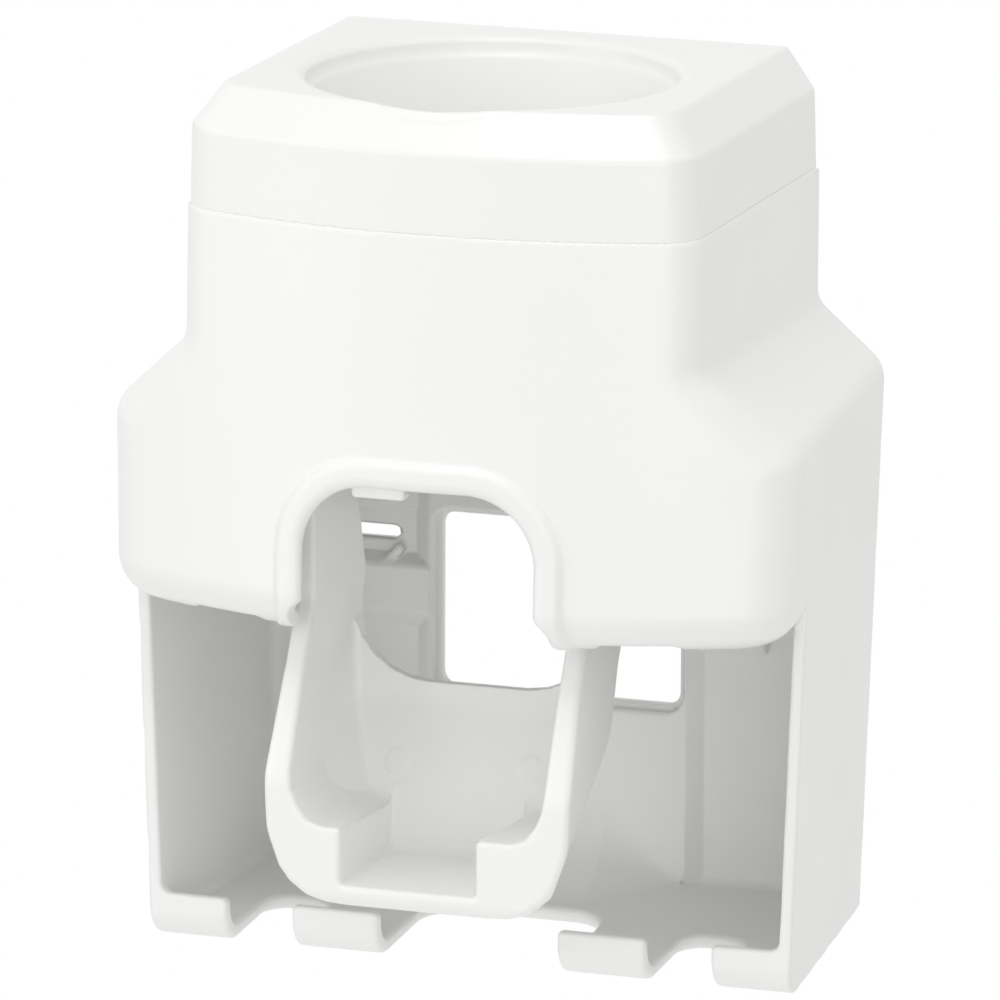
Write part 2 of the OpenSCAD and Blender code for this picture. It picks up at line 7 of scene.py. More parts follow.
# %% The frame
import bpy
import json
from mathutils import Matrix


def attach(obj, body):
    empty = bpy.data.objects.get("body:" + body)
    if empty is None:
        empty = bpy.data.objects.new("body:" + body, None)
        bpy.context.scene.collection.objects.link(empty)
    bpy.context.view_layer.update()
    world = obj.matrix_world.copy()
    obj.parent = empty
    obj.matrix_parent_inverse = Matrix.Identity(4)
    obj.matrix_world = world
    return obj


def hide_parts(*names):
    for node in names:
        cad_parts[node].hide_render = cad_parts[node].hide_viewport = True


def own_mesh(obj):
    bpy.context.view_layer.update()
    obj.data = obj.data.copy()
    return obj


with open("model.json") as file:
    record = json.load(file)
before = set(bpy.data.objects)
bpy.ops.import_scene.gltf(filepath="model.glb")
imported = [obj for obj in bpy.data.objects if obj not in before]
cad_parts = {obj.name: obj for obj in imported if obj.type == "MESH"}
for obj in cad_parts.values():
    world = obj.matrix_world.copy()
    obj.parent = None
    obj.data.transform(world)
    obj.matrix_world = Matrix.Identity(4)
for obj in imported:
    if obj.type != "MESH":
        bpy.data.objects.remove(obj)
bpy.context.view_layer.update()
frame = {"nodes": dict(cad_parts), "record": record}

# %% Tools
import json
import math
import bpy
import numpy as np
from mathutils import Matrix, Vector

# %% [markdown]
# Sizes. Drawings of moulded goods are in millimetres, measured up from the lowest edge, so the
# same is done here, and every finished mesh is scaled to metres and moved down at the end.

# %% Sizes in millimetres
HOOD_W, DEPTH, HEIGHT = 134.0, 86.0, 167.0
SEAM, NECK, BROW, HOOD = 144.6, 119.6, 104.6, 68.5    # levels up the housing
NECK_X = 49.5                                         # half the neck's width
BOW, BOW_Y = 132.0, 46.0                              # radius and centre of the bowed front
WALL, SIDE_Y = 2.4, -55.5
LEAN = 2.7 / (SEAM - HOOD)
TAPER, DRAFT = math.atan(4.5 / 66), math.atan(3.7 / BROW)
WELL_Y, WELL_R, WELL_LOW_R = -42.8, 33.8, 20.0         # the tube's well, its rim and its foot
ARCH_HALF, ARCH_RISE, ARCH_R = 22.3, 28.8, 13.0       # the arch in the hood
FLOOR_Z, FLOOR_SLOPE = 6.1, 3.3 / 52.7                # the compartment's floor rises to the front
NOTCH_X, NOTCH_HALF = 41.0, 6.35                      # the brushes' notches
PIVOT_Y, PIVOT_Z, PUMP_Z = -59.0, 121.8, 104.8        # the lever's pins and the pump's bore


def place(points):
    """Millimetres up from the lowest edge, turned into the frame's metres."""
    return (np.asarray(points) - (0, 0, HEIGHT / 2)) / 1000


# %% [markdown]
# A moulding has no sharp edge: its mould is cut with round tools. One way to get that is to join
# sharp solids and bevel them, which breaks where many faces meet. Here each moulding is a signed
# distance instead: a function that says how far a point is from the surface, below zero inside.
# Where two such surfaces meet, a circle of any radius can be laid into the corner, so each edge
# gets the radius that the real one has.

# %% Joining surfaces with a fillet
def soft_and(a, b, r, c=0.0):
    """What is inside both, with the edge rounded by r. c is the cosine between the normals."""
    u, w = a + r, b + r
    arc = np.sqrt(np.maximum(u * u + w * w - 2 * c * u * w, 0) / (1 - c * c)) - r
    return np.where((u > c * w) & (w > c * u), arc, np.maximum(a, b))


def soft_or(a, b, r, c=0.0):
    """What is inside either, with a fillet of radius r in the corner between them."""
    return -soft_and(-a, -b, r, c)


def cut(a, b, r, c=0.0):
    """What is inside the first and outside the second."""
    return soft_and(a, -b, r, c)


def rounded(points, n=6):
    """Outline of corners (x, y, radius) with arcs at the corners."""
    line = []
    for i, (x, y, r) in enumerate(points):
        if not r:
            line.append((x, y))
            continue
        a, b = Vector(points[i - 1][:2]), Vector((x, y))
        c = Vector(points[(i + 1) % len(points)][:2])
        u, v = (a - b).normalized(), (c - b).normalized()
        half = u.angle(v) / 2
        m = b + (u + v).normalized() * r / math.sin(half)
        p, q = b + u * r / math.tan(half) - m, b + v * r / math.tan(half) - m
        start = math.atan2(p.y, p.x)
        sweep = (math.atan2(q.y, q.x) - start + 3 * math.pi) % (2 * math.pi) - math.pi
        turns = [start + sweep * k / n for k in range(n + 1)]
        line += [(m.x + r * math.cos(turn), m.y + r * math.sin(turn)) for turn in turns]
    return line


def mirrored(points):
    """Outline given by its right half."""
    return points + [(-x, y, r) for x, y, r in reversed(points)]


def within(u, v, line):
    """Signed distance to a flat outline, from coordinates u and v."""
    near, odd = 1e9, False
    for (ax, ay), (bx, by) in zip(line, line[1:] + line[:1]):
        ex, ey = bx - ax, by - ay
        if ex * ex + ey * ey < 1e-12:
            continue
        t = np.clip(((u - ax) * ex + (v - ay) * ey) / (ex * ex + ey * ey), 0, 1)
        near = np.minimum(near, (u - ax - ex * t) ** 2 + (v - ay - ey * t) ** 2)
        if ey:
            odd = odd ^ (((ay > v) != (by > v)) & (u < ax + ex * (v - ay) / ey))
    return np.where(odd, -1, 1) * np.sqrt(near)


# %% [markdown]
# To turn such a function into a mesh, it is sampled on a grid. Each grid cell that the surface
# passes through gets one point, and four cells round a crossed grid edge make a face (a method
# called surface nets). The points are then moved exactly onto the surface, Decimate takes away
# what flat areas don't need, and the function's own slope gives the normals, so the plastic
# shades cleanly.

# %% From a distance to a mesh
def slope(field, p, h=0.02):
    g = np.empty_like(p)
    for i in range(3):
        step = np.eye(3)[i] * h
        g[:, i] = (field(*(p + step).T) - field(*(p - step).T)) / (2 * h)
    return g


def settle(field, p, reach):
    """Moves points onto the surface along its slope."""
    g = slope(field, p)
    move = g * (field(*p.T) / np.maximum((g * g).sum(1), 0.2))[:, None]
    return p - np.clip(move, -reach, reach)


def mesh_of(name, points, faces):
    mesh = bpy.data.meshes.new(name)
    mesh.vertices.add(len(points))
    mesh.vertices.foreach_set("co", points.astype(np.float32).ravel())
    mesh.loops.add(faces.size)
    mesh.loops.foreach_set("vertex_index", faces.astype(np.int32).ravel())
    mesh.polygons.add(len(faces))
    starts = np.arange(0, faces.size, faces.shape[1], dtype=np.int32)
    mesh.polygons.foreach_set("loop_start", starts)
    mesh.update(calc_edges=True)
    return mesh


def sampled(field, low, high, cell):
    """Grid of distances. Only blocks near the surface are worked out in full."""
    blocks = [int(math.ceil((b - a) / cell / 4)) + 1 for a, b in zip(low, high)]
    axes = [a - 1.5 * cell + cell * np.arange(4 * n) for a, n in zip(low, blocks)]
    mid = [a.reshape(-1, 4).mean(1) for a in axes]
    rough = np.broadcast_to(field(mid[0][:, None, None], mid[1][None, :, None],
                                  mid[2][None, None, :]), blocks)
    near = np.argwhere(np.abs(rough) < 4.5 * cell)
    d = rough.astype(np.float32)
    for i in range(3):
        d = np.repeat(d, 4, i)
    some = np.stack(np.meshgrid(*[np.arange(4)] * 3, indexing="ij"), -1).reshape(-1, 3)
    g = (near[:, None, :] * 4 + some).reshape(-1, 3)
    d[tuple(g.T)] = field(*[axes[i][g[:, i]] for i in range(3)])
    return d, np.array([a[0] for a in axes])


def netted(d, start, cell):
    """Surface net of a grid of distances: points and four-sided faces."""
    inside = d < 0
    tally = sum(inside[i:d.shape[0] - 1 + i, j:d.shape[1] - 1 + j, k:d.shape[2] - 1 + k]
                .astype(np.int8) for i in (0, 1) for j in (0, 1) for k in (0, 1))
    cells = np.argwhere((tally > 0) & (tally < 8))
    index = np.full(tally.shape, -1, np.int32)
    index[tuple(cells.T)] = np.arange(len(cells))
    total, hits, faces = np.zeros((len(cells), 3)), np.zeros(len(cells)), []
    unit = np.eye(3, dtype=int)
    for a in range(3):
        b, c = unit[(a + 1) % 3], unit[(a + 2) % 3]
        for corner in (0 * b, b, c, b + c):
            i0 = cells + corner
            v0, v1 = d[tuple(i0.T)], d[tuple((i0 + unit[a]).T)]
            hit = (v0 < 0) != (v1 < 0)
            at = i0 + unit[a] * (v0 / np.where(hit, v0 - v1, 1))[:, None]
            total[hit] += at[hit]
            hits += hit
        here = np.take(inside, range(d.shape[a] - 1), a)
        edge = np.argwhere(here != np.take(inside, range(1, d.shape[a]), a))
        edge = edge[(edge @ b > 0) & (edge @ c > 0)]
        ring = np.stack([index[tuple((edge - o).T)] for o in (b + c, c, 0 * b, b)], 1)
        flip = ~inside[tuple(edge.T)]
        ring[flip] = ring[flip][:, ::-1]
        faces.append(ring)
    return start + cell * total / hits[:, None], np.concatenate(faces)


def plain_mesh(piece):
    """Turns what a piece's modifiers make into its own mesh."""
    bpy.context.view_layer.update()
    grown = piece.evaluated_get(bpy.context.evaluated_depsgraph_get())
    mesh = bpy.data.meshes.new_from_object(grown)
    piece.modifiers.clear()
    piece.data = mesh
    return mesh


def moulded(name, field, low, high, cell, triangles):
    """Meshes a distance function and returns the object in the frame's place."""
    d, start = sampled(field, low, high, cell)
    p, faces = netted(d, start, cell)
    a = np.concatenate([faces[:, i] for i in range(4)])
    b = np.concatenate([faces[:, (i + 1) % 4] for i in range(4)])
    count = np.bincount(a, minlength=len(p)) + np.bincount(b, minlength=len(p))
    for _ in range(3):
        p = settle(field, p, cell / 2)
        mean = np.stack([(np.bincount(a, p[b, i], len(p)) + np.bincount(b, p[a, i], len(p))) / count
                         for i in range(3)], 1)
        p = 0.5 * p + 0.5 * mean
    p = settle(field, p, cell / 2)
    piece = bpy.data.objects.new(name, mesh_of(name, p, faces))
    bpy.context.scene.collection.objects.link(piece)
    thin = piece.modifiers.new("thin", "DECIMATE")
    thin.ratio = min(1.0, triangles / (2 * len(faces)))
    mesh = plain_mesh(piece)
    p = np.empty(3 * len(mesh.vertices), np.float32)
    mesh.vertices.foreach_get("co", p)
    p = p.reshape(-1, 3).astype(float)
    for _ in range(2):
        p = settle(field, p, cell / 4)
    normal = slope(field, p)
    normal /= np.maximum(np.linalg.norm(normal, axis=1), 1e-6)[:, None]
    mesh.vertices.foreach_set("co", place(p).astype(np.float32).ravel())
    mesh.polygons.foreach_set("use_smooth", np.ones(len(mesh.polygons), bool))
    mesh.update()
    mesh.normals_split_custom_set_from_vertices(normal)
    print(name, len(faces), "faces, thinned to", sum(len(q.vertices) - 2 for q in mesh.polygons))
    return piece


# %% [markdown]
# The camera stands 2 m in front, 19 degrees to the right and 13 degrees above, with a long lens.
# These come from a fit of the object's own corners, so that the render lies on the photograph's
# outline.

# %% Camera
YAW, PITCH, ROLL = math.radians(19.133), math.radians(13.317), math.radians(0.233)
toward = Vector((math.sin(YAW) * math.cos(PITCH), -math.cos(YAW) * math.cos(PITCH),
                 math.sin(PITCH)))
right = (-toward).cross(Vector((0, 0, 1))).normalized()
up = right.cross(-toward)
right, up = (right * math.cos(ROLL) + up * math.sin(ROLL),
             up * math.cos(ROLL) - right * math.sin(ROLL))
camera = bpy.data.objects.new("camera", bpy.data.cameras.new("camera"))
bpy.context.scene.collection.objects.link(camera)
spot = Vector((0.000811, -0.04, 0.002486)) + toward * 2.065944
camera.matrix_world = Matrix.Translation(spot) @ Matrix((right, up, toward)).transposed().to_4x4()
camera.data.sensor_width = 36
camera.data.lens = 402.906
camera.data.clip_end = 20
bpy.context.scene.camera = camera
print("camera", [round(v, 3) for v in spot])

# %% [markdown]
# Finishes. Colours are written as the sRGB values that a colour picker shows, and one function
# turns them into the linear values that the shader wants. Another adds a node with its settings.

# %% Helpers for finishes
def linear(code):
    channels = [int(code[i:i + 2], 16) / 255 for i in (1, 3, 5)]
    return (*[c / 12.92 if c <= 0.04045 else ((c + 0.055) / 1.055) ** 2.4 for c in channels], 1)


def add(tree, kind, inputs=(), **settings):
    """Adds a node. An input is a value, or the output socket that feeds it."""
    node = tree.nodes.new(kind)
    for key, value in settings.items():
        setattr(node, key, value)
    for key, value in dict(inputs).items():
        if isinstance(value, bpy.types.NodeSocket):
            tree.links.new(value, node.inputs[key])
        else:
            node.inputs[key].default_value = value
    return node


def finish_of(name, colour, roughness, **shader):
    """A new material with its main shader set, and the Object coordinates to pattern it by."""
    material = bpy.data.materials.new(name)
    material.use_nodes = True
    tree = material.node_tree
    main = tree.nodes["Principled BSDF"]
    main.inputs["Base Color"].default_value = linear(colour)
    main.inputs["Roughness"].default_value = roughness
    for key, value in shader.items():
        main.inputs[key.replace("_", " ").title().replace("Ior", "IOR")].default_value = value
    where = add(tree, "ShaderNodeTexCoord").outputs["Object"]
    return material, tree, main, where


# %% [markdown]
# The outside is ABS, injection moulded in a polished mould: a clean warm white with a soft gloss.
# Its shine is never quite even, because the melt freezes in patches some centimetres wide, and
# the mould's polish leaves a very faint orange peel of about 2 mm.

# %% White moulded ABS
def white_abs(name, colour, roughness, peel):
    material, tree, main, where = finish_of(name, colour, roughness, ior=1.53)
    patch = add(tree, "ShaderNodeTexNoise", {"Vector": where, "Scale": 45.0, "Detail": 3.0})
    gloss = add(tree, "ShaderNodeMapRange", {"Value": patch.outputs["Fac"], "From Min": 0.3,
                "From Max": 0.7, "To Min": roughness - 0.04, "To Max": roughness + 0.05})
    tree.links.new(gloss.outputs["Result"], main.inputs["Roughness"])
    grain = add(tree, "ShaderNodeTexNoise", {"Vector": where, "Scale": 500.0, "Detail": 2.0})
    bump = add(tree, "ShaderNodeBump", {"Height": grain.outputs["Fac"], "Strength": peel,
               "Distance": 0.0001})
    tree.links.new(bump.outputs["Normal"], main.inputs["Normal"])
    return material


abs_outside = white_abs("white_abs_polished", "#FAFAF8", 0.34, 0.05)
abs_inside = white_abs("white_abs_satin", "#F0F0ED", 0.42, 0.10)

# %% [markdown]
# The cover: a shallow bowed lid with a band, a bevel all round and the round well that the tube
# stands in. Its band and bevel are made from a leaning side and a bow each, rounded together at
# the upright corners, then the lathe form of the well is cut out.

# %% Cover
BAND = BOW - 2.7 - 0.2


def cover_core(x, y, z):
    """Outside of the cover without its open foot."""
    x = np.abs(x)
    rho = np.hypot(x, y - BOW_Y)
    lean = x / rho
    band = soft_and((x - 49 + 0.0272 * (z - SEAM)) * 0.9996, rho - BAND, 8.6, lean)
    bevel = soft_and(0.8187 * (x - 48.6) + 0.5742 * (z - 159.3),
                     0.7988 * (rho - BAND) + 0.6017 * (z - 159.3), 8.6, 0.654 * lean + 0.3455)
    core = soft_and(band, bevel, 1.6, 0.81)
    core = soft_and(core, z - HEIGHT, 1.3, 0.58)
    return soft_and(core, y + 0.4, 0.8)


def cover(x, y, z):
    core = cover_core(x, y, z)
    shell = soft_and(core, SEAM - 0.3 - z, 0.15)
    shell = cut(shell, core + 2.2, 0.5)
    land = np.maximum(np.maximum(core + 1.2, -core - 4), np.maximum(SEAM - z, z - SEAM - 3))
    skirt = np.maximum(np.maximum(core + 3, -core - 5), np.maximum(SEAM - 6 - z, z - SEAM - 3))
    r = np.hypot(x, y - WELL_Y)
    foot = SEAM - 9.2
    funnel = np.maximum(np.maximum(0.8897 * (r - 22.2 - 0.513 * (z - foot)), r - 36), z - 165.6)
    funnel = np.maximum(soft_and(funnel, foot - z, 0.5), core + 0.3)
    cone = 0.9063 * (r - WELL_LOW_R - 0.4664 * (z - foot))
    well = soft_or(soft_and(r - WELL_R, 163.7 - z, 1.2), cone, 1.2, 0.4226)
    whole = soft_or(np.minimum(shell, np.minimum(land, skirt)), funnel, 0.9)
    return cut(whole, well, 1.4)


top_cover = moulded("cover_moulding", cover, (-50, -86, 134), (50, 0, 167.5), 0.6, 150000)

# %% [markdown]
# The housing: hood and neck are one bowed form with sloped shoulders, the compartment below is a
# block on the same tapered sides, and the hollows are taken out of both at once. A moulding's
# inside is its outside moved in by the wall, which with a distance means adding the wall.

# %% Housing
SIDE = Vector((math.cos(DRAFT) * math.cos(TAPER), math.cos(DRAFT) * math.sin(TAPER),
               -math.sin(DRAFT)))


def arch_of(x, z, grow):
    """Outline of the arch in the hood, grown outwards."""
    flare = 2.6 * np.clip((HOOD + 6.5 - z) / 7.7, 0, 1) ** 2
    return soft_and(x - ARCH_HALF - flare - grow, z - HOOD - ARCH_RISE - grow, ARCH_R + grow)


def hood_core(x, y, z):
    """Outside of the hood and neck, with nothing cut away."""
    rho = np.hypot(x, y - BOW_Y)
    bow = rho - BOW + LEAN * (z - HOOD)
    side = SIDE.x * (x - HOOD_W / 2) + SIDE.y * (y + 66) + SIDE.z * (z - BROW)
    form = soft_or(x - NECK_X, 0.6508 * (x - NECK_X) + 0.7592 * (z - NECK), 4.5, 0.65)
    form = soft_and(form, side, 6.5, 0.62)
    t = np.clip((z - BROW) / (NECK - BROW), 0, 1)
    corner = 14.5 - 5.7 * t * t * (3 - 2 * t)
    return soft_and(form, bow, corner, np.minimum(x / rho, 0.9)), bow, side


def housing(x, y, z):
    left, x = x, np.abs(x)
    core, bow, side = hood_core(x, y, z)
    # the bead round the arch, which stands proud and curls under the hood's lower edge
    bead = soft_and(bow - 1.5, HOOD - 0.1 - z, 8)
    bead = soft_and(soft_and(bead, arch_of(x, z, 5.1), 1.3), -core - 5.4, 2)
    hood = soft_and(core, HOOD - z, 8)
    hood = soft_or(hood, bead, 0.7)
    hood = soft_and(soft_and(hood, y, 0.8), z - SEAM, 0.6)
    # block of the compartment, rounded where its floor turns up
    under = 3.3 + y * 3.6 / 55.5 - z
    block = soft_and(SIDE_Y - y, under, 7, 0.06)
    block = soft_and(block, side, 0.6)
    block = np.maximum(soft_and(block, y, 0.8), z - BROW + 8)
    solid = np.minimum(hood, block)
    # hollows: the hood's, its open underside, and the compartment over its floor
    hollow = np.maximum(soft_and(core, HOOD - z, 8) + WALL, y + WALL)
    below = np.maximum(np.maximum(core + 6.4, y + WALL), np.abs(z - HOOD) - 5)
    floor = soft_or(z - FLOOR_Z - y * FLOOR_SLOPE, y - SIDE_Y - 2.8, 4.2)
    floor = soft_and(floor, z - 9, 1.2)
    room = soft_and(side + WALL, y + WALL, 2)
    room = np.maximum(soft_and(room, -floor, 2), np.maximum(SIDE_Y - 4 - y, z - HOOD - 5))
    solid = cut(cut(solid, np.minimum(hollow, below), 1.0), room, 0.6)
    # panel in the middle of the back with its cove, and the rails beside the opening
    cove = soft_and(y + WALL + 2.2, FLOOR_Z + y * FLOOR_SLOPE - z,
                    2.5 + 14.5 * np.clip((24 - x) / 14, 0, 1))
    flank = 0.591 * (x - 25.6) - 0.806 * (np.maximum(y, -5) + 4.6)
    panel = np.maximum(soft_and(-cove, flank, 0.8, 0.8), np.maximum(y + 0.4, z - HOOD - 31))
    solid = np.minimum(solid, np.maximum(panel, block + 0.4))
    face = -WALL - 2.6 - y
    boss = soft_and(soft_and(x - 41, face, 1.2), 0.6 * (54 - z) + 0.8 * face, 2.5, 0.8)
    boss = soft_and(boss, 0.857 * (z - 63) + 0.515 * face, 1.5, 0.5)
    solid = np.minimum(solid, np.maximum(np.maximum(boss, 25 - x), y + 0.5))
    # slanting rib from the boss up to the slot
    rib = np.maximum(np.abs(0.745 * (x - 34.4) + 0.667 * (z - 63)) - 0.9,
                     np.abs(0.745 * (z - 63) - 0.667 * (x - 34.4)) - 4.6)
    solid = soft_or(solid, soft_and(np.maximum(rib, y + 0.5), -WALL - 1.9 - y, 0.5), 0.5)
    # openings
    solid = cut(solid, np.maximum(arch_of(x, z, 0), y + DEPTH - 14), 2.2)
    # small ledge under the arch's top, left of the middle
    ledge = soft_and(np.abs(left + 8.2) - 5.2, np.abs(z - 97) - 2.4, 0.9)
    solid = np.minimum(solid, soft_and(ledge, np.abs(y + 80.4) - 1.6, 0.6))
    gap = soft_and(x - 23.7, np.abs(z - 56.65) - 16.85, 2.5)
    solid = cut(cut(solid, gap, 0.5), np.maximum(gap - 1.3, y + WALL + 0.2), 0.6)
    slot = np.hypot(np.maximum(np.abs(x - 39.5) - 6.1, 0), z - 68.7) - 1.2
    solid = cut(solid, slot, 0.35)
    notch = soft_and(np.abs(x - NOTCH_X) - NOTCH_HALF, y - SIDE_Y - 24, 5)
    dip = soft_and(x - 17.5, y - SIDE_Y - 31, 8)
    return cut(solid, np.maximum(np.minimum(notch, dip), z - 20), 1.1)


main_housing = moulded("housing_moulding", housing, (-67.2, -86.3, -0.5), (67.2, 0, 145), 0.72,
                       195000)

# %% [markdown]
# The lever: a U that hangs in the arch. Seen from the front it is a rounded shield, seen from the
# side a thin arm that widens to a scoop. Both outlines are drawn flat and crossed, and the
# scoop's hollow is crossed from two outlines in the same way and taken out. Two leaning planes
# take the sides in towards the back.

# %% Lever
LEVER_Y, LEVER_Z = -84.5, 17.5      # its front face and its lowest edge
lever_front = rounded(mirrored([(29.3, LEVER_Z, 16), (29.5, HOOD - 26, 20), (28.5, HOOD - 8, 20),
                                (28.5, 131.8, 0)]))
lever_side = rounded([
    (LEVER_Y, LEVER_Z, 3), (LEVER_Y, 41.5, 8), (-76.5, 59.5, 10), (-69.8, 72, 6), (-69.8, 92, 8),
    (-76.8, 100.8, 6), (-76.8, 109.8, 3), (-65, 121.8, 3), (-64, 127.8, 5.2), (-53, 127.8, 5.2),
    (-53, 115.8, 3), (-50.5, 104.8, 4), (-45.5, 84.5, 6), (-41.5, 71, 6), (-47.3, 59.5, 8),
    (-47.7, 49.5, 10), (-54.5, 19.5, 8)])
pocket_front = rounded(mirrored([(24.5, 30.3, 12), (24.5, 167, 0)]))
pocket_side = rounded([(-92, 33, 0), (-84.5, 33, 0), (-56.3, 30.5, 5), (-50.2, 49.5, 10),
                       (-50, 167, 0), (-92, 167, 0)])
window_front = rounded(mirrored([(24.5, 53, 15), (24.5, 167, 0)]))
channel_side = rounded([(-92, 22.1, 0), (-57.4, 22.4, 3), (-54.75, 36, 0), (-92, 36, 0)])


def lever(x, y, z):
    # the sides lean in towards the back, and more so round the scoop's foot
    half = np.abs(x)
    lean = soft_and(0.9947 * (half - 29.3) + 0.0922 * (y - LEVER_Y) - 0.043 * (z - 33),
                    0.917 * (half - 22.5) + 0.223 * (y + 54.3) - 0.33 * (z - 33), 12, 0.946)
    low = np.clip((64 - z) / 16, 0, 1) * np.clip((y + 72) / 14, 0, 1)
    front = soft_and(within(x, z, lever_front), lean, 2, 0.9)
    solid = soft_and(front, within(y, z, lever_side), 1.4 + 4 * low)
    pocket = soft_and(within(x, z, pocket_front), lean + 3.2, 1.6, 0.9)
    pocket = soft_and(pocket, within(y, z, pocket_side), 1.4)
    # two shallow discs on the scoop's back, left by the pins that push the lever out of its mould
    for px, pz in ((-14.2, 38.2), (11.8, 39)):
        pocket = pocket + 0.2 * np.clip((2.6 - np.hypot(x - px, z - pz)) / 0.5, 0, 1)
    window = np.maximum(within(x, z, window_front), -62 - y)
    channel = soft_and(np.abs(x + 1.5) - 13.1, within(y, z, channel_side), 0.8)
    solid = cut(solid, np.minimum(np.minimum(pocket, window), channel), 1.1)
    # cores under the two benches, which keep the plastic's thickness even
    core = np.where(x > 0, np.abs(x - 18.5) - 4.5, np.abs(x + 20) - 3)
    core = soft_and(soft_and(core, np.abs(y + 71) - 10.5, 1.5), z - 27, 1)
    solid = cut(solid, np.maximum(core, lean + 2.3), 0.4)
    bar = np.minimum(np.hypot(y + 73, z - 105.8) - 3,
                     np.maximum(np.abs(y + 74.8) - 1.8, np.abs(z - 105.8) - 5))
    solid = soft_or(solid, np.maximum(bar, np.abs(x) - 25), 0.8)
    return cut(solid, np.hypot(y - PIVOT_Y, z - PIVOT_Z) - 1.55, 0.3)


brush_lever = moulded("lever_moulding", lever, (-29.5, -84.6, 17), (29.5, -41, 128.5), 0.6, 120000)

# %% [markdown]
# Each moulding takes over from its CAD node, rides on the same body, and gets the ABS.

# %% Mouldings take their places
for piece, node, body, material in ((top_cover, "top_cover", "cover", abs_outside),
                                    (main_housing, "housing", "housing", abs_outside),
                                    (brush_lever, "brush_lever", "lever", abs_outside)):
    piece.data.materials.clear()
    piece.data.materials.append(material)
    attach(piece, body)
    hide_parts(node)

# %% [markdown]
# The machine parts keep their CAD shape. Acetal is a slippery, waxy plastic with a slight glow,
# the pins and screws are zinc-plated steel, and the seals are rubber, dull and slightly dusty.

# %% Finishes of the machine parts
def acetal():
    material, tree, main, where = finish_of("acetal_natural", "#E9E8E2", 0.38, ior=1.48)
    cloud = add(tree, "ShaderNodeTexNoise", {"Vector": where, "Scale": 120.0, "Detail": 3.0})
    tone = add(tree, "ShaderNodeMapRange", {"Value": cloud.outputs["Fac"], "To Min": 0.30,
               "To Max": 0.46})
    tree.links.new(tone.outputs["Result"], main.inputs["Roughness"])
    return material


def zinc_steel():
    material, tree, main, where = finish_of("zinc_plated_steel", "#C4C6C8", 0.3, metallic=1.0)
    draw = add(tree, "ShaderNodeMapping", {"Vector": where, "Scale": (1.0, 0.05, 1.0)})
    line = add(tree, "ShaderNodeTexNoise", {"Vector": draw.outputs["Vector"], "Scale": 3000.0})
    shine = add(tree, "ShaderNodeMapRange", {"Value": line.outputs["Fac"], "To Min": 0.2,
                "To Max": 0.45})
    tree.links.new(shine.outputs["Result"], main.inputs["Roughness"])
    return material


def rubber(name, colour):
    material, tree, main, where = finish_of(name, colour, 0.7, ior=1.52)
    dust = add(tree, "ShaderNodeTexNoise", {"Vector": where, "Scale": 700.0, "Detail": 4.0})
    bump = add(tree, "ShaderNodeBump", {"Height": dust.outputs["Fac"], "Strength": 0.3,
               "Distance": 0.0001})
    tree.links.new(bump.outputs["Normal"], main.inputs["Normal"])
    return material


finishes = {"white_gloss": abs_outside, "inner_white": abs_inside, "acetal": acetal(),
            "steel": zinc_steel(), "black_rubber": rubber("black_rubber", "#2A2A2B"),
            "red_rubber": rubber("red_silicone", "#B5483A")}
slots = {row["node"]: row["material_slot"] for row in frame["record"]["subparts"]}
for name, node in frame["nodes"].items():
    finish = finishes[slots[name]]
    if not node.material_slots:
        node.data.materials.append(finish)
    for holder in node.material_slots:
        holder.material = finish
print("finished", len(frame["nodes"]), "nodes")

# %% [markdown]
# The screws are alike, so one tree of Geometry Nodes makes a pan-head screw and puts it on the
# corners of a grid. Its head is a cylinder cut by a sphere, its cross is two crossed bars taken
# out, and each screw stops at its own angle, as screws do.

# %% Tree of the screws
def tree_of(name, numbers, vectors=()):
    """A new tree with named inputs: numbers, vectors and the material. Returns its sockets too."""
    tree = bpy.data.node_groups.new(name, "GeometryNodeTree")
    for kind, names in (("NodeSocketFloat", numbers), ("NodeSocketVector", vectors),
                        ("NodeSocketMaterial", ("Material",))):
        for label in names:
            tree.interface.new_socket(label, in_out="INPUT", socket_type=kind)
    tree.interface.new_socket("Geometry", in_out="OUTPUT", socket_type="NodeSocketGeometry")
    return tree, add(tree, "NodeGroupInput").outputs


def times(tree, socket, factor):
    product = add(tree, "ShaderNodeMath", {0: socket, 1: factor}, operation="MULTIPLY")
    return product.outputs["Value"]


def finished(tree, geometry, sizes):
    """Puts the geometry at its centre, makes it real and gives it its material."""
    put = add(tree, "GeometryNodeTransform", {"Geometry": geometry, "Translation": sizes["Centre"],
              "Rotation": sizes["Turn"]})
    real = add(tree, "GeometryNodeRealizeInstances", {"Geometry": put.outputs["Geometry"]})
    paint = add(tree, "GeometryNodeSetMaterial", {"Geometry": real.outputs["Geometry"],
                "Material": sizes["Material"]})
    add(tree, "NodeGroupOutput", {"Geometry": paint.outputs["Geometry"]})
    return tree


